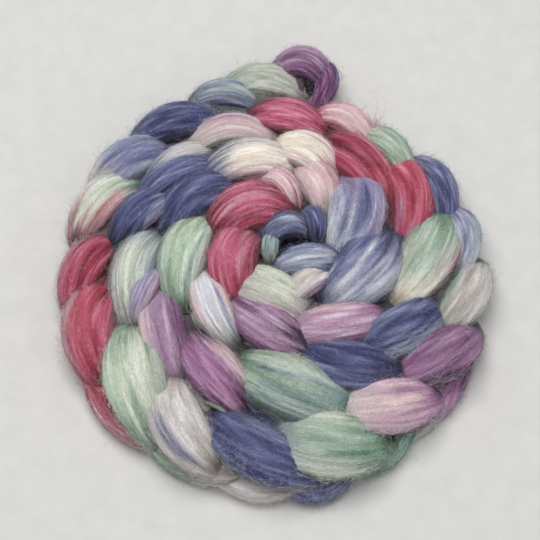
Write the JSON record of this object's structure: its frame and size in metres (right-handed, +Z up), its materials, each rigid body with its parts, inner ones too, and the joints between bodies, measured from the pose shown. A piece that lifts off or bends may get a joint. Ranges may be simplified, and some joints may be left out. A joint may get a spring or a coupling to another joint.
{
  "type": "wool roving",
  "caption": "Hand-dyed wool roving, chained loop through loop into a fat braid and coiled flat, its end loop lying beside the outer turn.",
  "frame": {"origin": "middle of the coil's footprint, on the surface that it lies on", "axes": "+Z up through the coil, +Y from the near rim towards the end loop, +X to the right seen from the near rim"},
  "size_m": [0.272, 0.298, 0.0528],
  "materials": {
    "dyed_wool": "satin"
  },
  "bodies": {
    "root": {"braid": "dyed_wool"}
  },
  "joints": []
}
